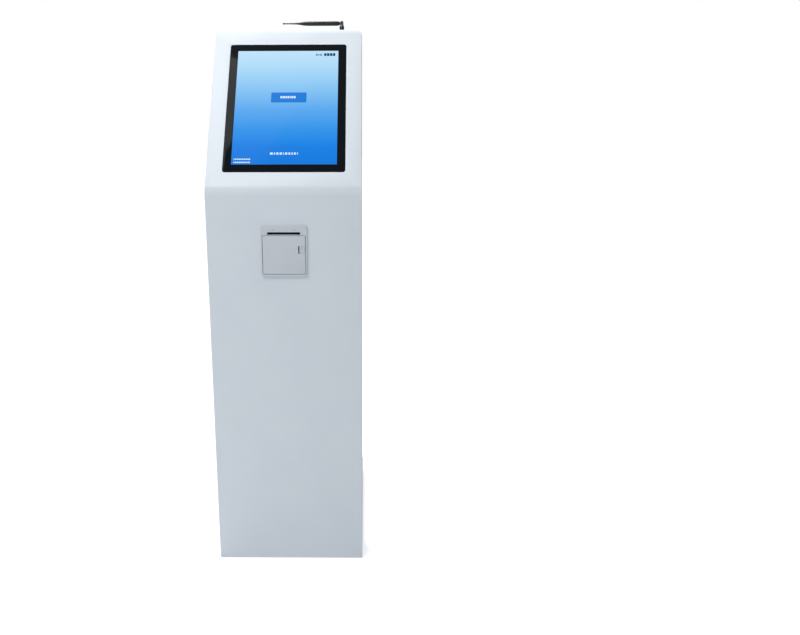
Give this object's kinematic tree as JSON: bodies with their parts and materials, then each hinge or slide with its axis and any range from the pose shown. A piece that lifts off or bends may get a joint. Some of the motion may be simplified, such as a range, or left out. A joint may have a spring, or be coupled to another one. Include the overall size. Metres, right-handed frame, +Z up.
{
  "type": "ticket vending machine",
  "caption": "Queue-ticket kiosk: slim white steel column, tilted portrait touch-screen head, slot printer, louvred rear doors with cam locks, rod antenna, rearward base.",
  "frame": {"origin": "on the floor, at the middle of the base's underside", "axes": "+Z up, the customer stands at -Y, +X to the customer's right"},
  "size_m": [0.4, 0.4983, 1.4822],
  "materials": {
    "white_powder_coat": "fine satin powder coat",
    "black_plastic": "moulded, matt",
    "white_plastic": "moulded, satin",
    "black_glass": "polished, black printed border",
    "display": "lit display",
    "zinc_plated_steel": "zinc plated",
    "nickel_plate": "nickel plated",
    "green_board": "solder mask",
    "soft_rubber": "matt",
    "paper": "thermal paper"
  },
  "bodies": {
    "root": {"antenna_connector": "nickel_plate", "base_bottom_plate": "zinc_plated_steel", "base_deck": "white_powder_coat", "base_rear_skirt": "white_powder_coat", "column_door_lower_pivot_pin": "zinc_plated_steel", "column_door_upper_pivot_pin": "zinc_plated_steel", "column_rear_frame": "white_powder_coat", "connector_plate": "black_plastic", "cover_hinge_pin": "zinc_plated_steel", "feed_motor": "nickel_plate", "front_sheet": "white_powder_coat", "glass_mount_frame": "zinc_plated_steel", "head_door_lower_pivot_pin": "zinc_plated_steel", "head_door_upper_pivot_pin": "zinc_plated_steel", "head_rear_frame": "white_powder_coat", "head_top_wrap": "white_powder_coat", "lcd_panel": "display", "ledge_sheet": "white_powder_coat", "left_side_plate": "white_powder_coat", "mini_computer": "black_plastic", "power_inlet": "black_plastic", "power_supply": "zinc_plated_steel", "printer_bezel": "white_plastic", "printer_chassis": "black_plastic", "right_side_plate": "white_powder_coat", "speaker": "black_plastic", "thermal_print_head": "green_board", "touch_glass": "black_glass"},
    "column_door": {"column_door": "white_powder_coat", "column_lock_barrel": "nickel_plate", "column_lock_nut": "zinc_plated_steel", "fan_frame": "black_plastic"},
    "column_lock_plug": {"column_lock_plug": "nickel_plate", "column_lock_cam": "zinc_plated_steel"},
    "column_key": {"column_key": "nickel_plate"},
    "column_key_ring": {"column_key_ring": "zinc_plated_steel"},
    "column_spare_key": {"column_spare_key": "nickel_plate"},
    "head_door": {"head_door": "white_powder_coat", "head_lock_barrel": "nickel_plate", "head_lock_nut": "zinc_plated_steel"},
    "head_lock_plug": {"head_lock_plug": "nickel_plate", "head_lock_cam": "zinc_plated_steel"},
    "head_key": {"head_key": "nickel_plate"},
    "head_key_ring": {"head_key_ring": "zinc_plated_steel"},
    "head_spare_key": {"head_spare_key": "nickel_plate"},
    "printer_cover": {"printer_cover": "white_plastic"},
    "cover_latch": {"cover_latch": "white_plastic"},
    "paper_roll": {"paper_roll": "paper"},
    "platen_roller": {"platen_roller": "soft_rubber", "platen_gear": "white_plastic"},
    "motor_pinion": {"motor_pinion": "white_plastic"},
    "antenna_knuckle": {"antenna_knuckle": "black_plastic"},
    "antenna_whip": {"antenna_whip": "black_plastic"},
    "fan_rotor": {"fan_rotor": "black_plastic"},
    "power_switch": {"power_switch": "black_plastic"}
  },
  "joints": [
    {"name": "column_door_hinge", "type": "hinge", "parent": "root", "child": "column_door", "pos_m": [-0.179, -0.154, 0.55], "axis": [0, 0, 1], "range_deg": [0, 110]},
    {"name": "column_lock_turn", "type": "hinge", "parent": "column_door", "child": "column_lock_plug", "pos_m": [0.165, -0.151, 0.547], "axis": [0, -1, 0], "range_deg": [0, 90]},
    {"name": "column_key_withdraw", "type": "slide", "parent": "column_lock_plug", "child": "column_key", "axis": [0, 1, 0], "range_m": [0, 0.02]},
    {"name": "column_key_ring_hang", "type": "hinge", "parent": "column_key", "child": "column_key_ring", "pos_m": [0.165, -0.1283, 0.5369], "axis": [0, -1, 0], "range_deg": [-95, 5]},
    {"name": "column_spare_key_swing", "type": "hinge", "parent": "column_key_ring", "child": "column_spare_key", "pos_m": [0.165, -0.1283, 0.5229], "axis": [1, 0, 0], "range_deg": [-25, 25]},
    {"name": "head_door_hinge", "type": "hinge", "parent": "root", "child": "head_door", "pos_m": [-0.192, -0.0878, 1.22175], "axis": [0, 0.5, 0.866], "range_deg": [0, 110]},
    {"name": "head_lock_turn", "type": "hinge", "parent": "head_door", "child": "head_lock_plug", "pos_m": [0.178, -0.0807, 1.22804], "axis": [0, -0.866, 0.5], "range_deg": [0, 90]},
    {"name": "head_key_withdraw", "type": "slide", "parent": "head_lock_plug", "child": "head_key", "axis": [0, 0.866, -0.5], "range_m": [0, 0.02]},
    {"name": "head_key_ring_hang", "type": "hinge", "parent": "head_key", "child": "head_key_ring", "pos_m": [0.178, -0.06104, 1.20659], "axis": [0, -1, 0], "range_deg": [-95, 5]},
    {"name": "head_spare_key_swing", "type": "hinge", "parent": "head_key_ring", "child": "head_spare_key", "pos_m": [0.178, -0.06104, 1.19259], "axis": [1, 0, 0], "range_deg": [-25, 25]},
    {"name": "printer_cover_hinge", "type": "hinge", "parent": "root", "child": "printer_cover", "pos_m": [-0.052, -0.2488, 0.8735], "axis": [0, 0, -1], "range_deg": [0, 100]},
    {"name": "cover_latch_slide", "type": "slide", "parent": "printer_cover", "child": "cover_latch", "axis": [-1, 0, 0], "range_m": [0, 0.0025], "stiffness_N_per_m": 150},
    {"name": "paper_roll_spin", "type": "hinge", "parent": "root", "child": "paper_roll", "pos_m": [0, -0.2017, 0.859], "axis": [1, 0, 0], "continuous": true},
    {"name": "platen_spin", "type": "hinge", "parent": "root", "child": "platen_roller", "pos_m": [0, -0.2247, 0.9242], "axis": [1, 0, 0], "continuous": true},
    {"name": "motor_pinion_spin", "type": "hinge", "parent": "root", "child": "motor_pinion", "pos_m": [0, -0.2076, 0.9242], "axis": [1, 0, 0], "continuous": true},
    {"name": "antenna_swivel", "type": "hinge", "parent": "root", "child": "antenna_knuckle", "pos_m": [0.1435, 0.01817, 1.44728], "axis": [0, 0.5, 0.866], "range_deg": [-170, 170]},
    {"name": "antenna_tilt", "type": "hinge", "parent": "antenna_knuckle", "child": "antenna_whip", "pos_m": [0.1435, 0.03452, 1.4756], "axis": [0, 0.866, -0.5], "range_deg": [0, 90]},
    {"name": "fan_spin", "type": "hinge", "parent": "column_door", "child": "fan_rotor", "pos_m": [0.076, -0.1642, 0.669], "axis": [0, 1, 0], "continuous": true},
    {"name": "power_switch_rock", "type": "hinge", "parent": "root", "child": "power_switch", "pos_m": [-0.022, -0.177, 0.086], "axis": [1, 0, 0], "range_deg": [0, 8]}
  ],
  "couplings": [
    {"joint": "platen_spin", "follows": "paper_roll_spin", "ratio": 5.2308},
    {"joint": "motor_pinion_spin", "follows": "paper_roll_spin", "ratio": -6.9744},
    {"joint": "column_key_ring_hang", "follows": "column_lock_turn", "ratio": -1},
    {"joint": "head_key_ring_hang", "follows": "head_lock_turn", "ratio": -1}
  ]
}
